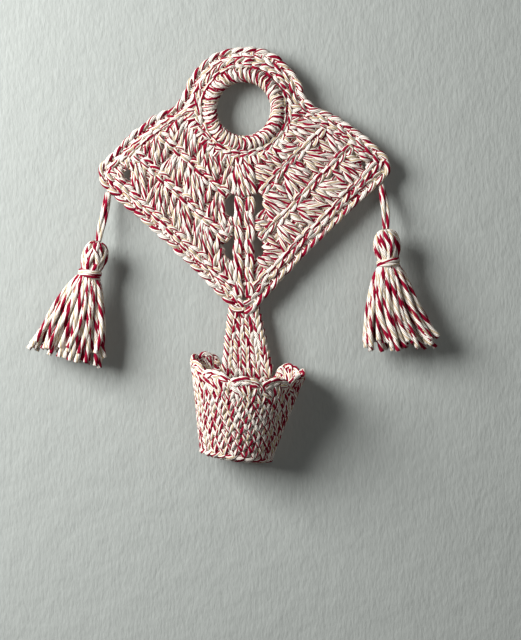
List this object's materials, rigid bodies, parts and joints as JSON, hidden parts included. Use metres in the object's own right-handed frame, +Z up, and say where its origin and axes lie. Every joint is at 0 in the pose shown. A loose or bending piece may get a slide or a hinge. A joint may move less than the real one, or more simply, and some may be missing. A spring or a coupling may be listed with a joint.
{
  "type": "air plant holder",
  "caption": "Wall-hung crocheted plant holder: a kite of shell stitches on a ring, with a pocket on a neck below and a tassel at each side tip.",
  "frame": {"origin": "centre of the hanging hole, in the plane of the wall that the fabric lies against", "axes": "+Y into the wall, +Z up, +X to the viewer's right; the face looks along -Y"},
  "size_m": [0.2603, 0.0485, 0.2698],
  "materials": {
    "marled_yarn": "cotton yarn of cream, rose red and straw plies",
    "tassel_yarn": "cut cotton yarn of cream, rose red and straw plies",
    "hard_ring": "smooth moulded ring"
  },
  "bodies": {
    "panel": {"ring_core": "hard_ring", "ring_wrap": "marled_yarn", "ring_knot_row": "marled_yarn", "top_edge_braid": "marled_yarn", "left_edge_braid": "marled_yarn", "right_edge_braid": "marled_yarn", "left_shell_row_1": "marled_yarn", "left_shell_row_2": "marled_yarn", "left_shell_row_3": "marled_yarn", "right_shell_row_1": "marled_yarn", "right_shell_row_2": "marled_yarn", "right_shell_row_3": "marled_yarn", "centre_spine": "marled_yarn", "neck": "marled_yarn", "neck_seam": "marled_yarn", "pocket_wall": "marled_yarn", "pocket_base": "marled_yarn", "pocket_rim": "marled_yarn"},
    "left_cord": {"left_cord": "marled_yarn"},
    "left_tassel": {"left_tassel_head": "marled_yarn", "left_tassel_binding": "marled_yarn", "left_tassel_skirt": "tassel_yarn"},
    "right_cord": {"right_cord": "marled_yarn"},
    "right_tassel": {"right_tassel_head": "marled_yarn", "right_tassel_binding": "marled_yarn", "right_tassel_skirt": "tassel_yarn"}
  },
  "joints": [
    {"name": "left_cord_swing", "type": "hinge", "parent": "panel", "child": "left_cord", "pos_m": [-0.08768, -0.0035, -0.0543], "axis": [0, 1, 0], "range_deg": [-20, 50]},
    {"name": "left_tassel_lift", "type": "hinge", "parent": "left_cord", "child": "left_tassel", "pos_m": [-0.09358, -0.0095, -0.0858], "axis": [-1, 0, 0], "range_deg": [0, 60]},
    {"name": "right_cord_swing", "type": "hinge", "parent": "panel", "child": "right_cord", "pos_m": [0.08906, -0.0035, -0.04793], "axis": [0, 1, 0], "range_deg": [-50, 20]},
    {"name": "right_tassel_lift", "type": "hinge", "parent": "right_cord", "child": "right_tassel", "pos_m": [0.09166, -0.0095, -0.07793], "axis": [-1, 0, 0], "range_deg": [0, 60]}
  ]
}
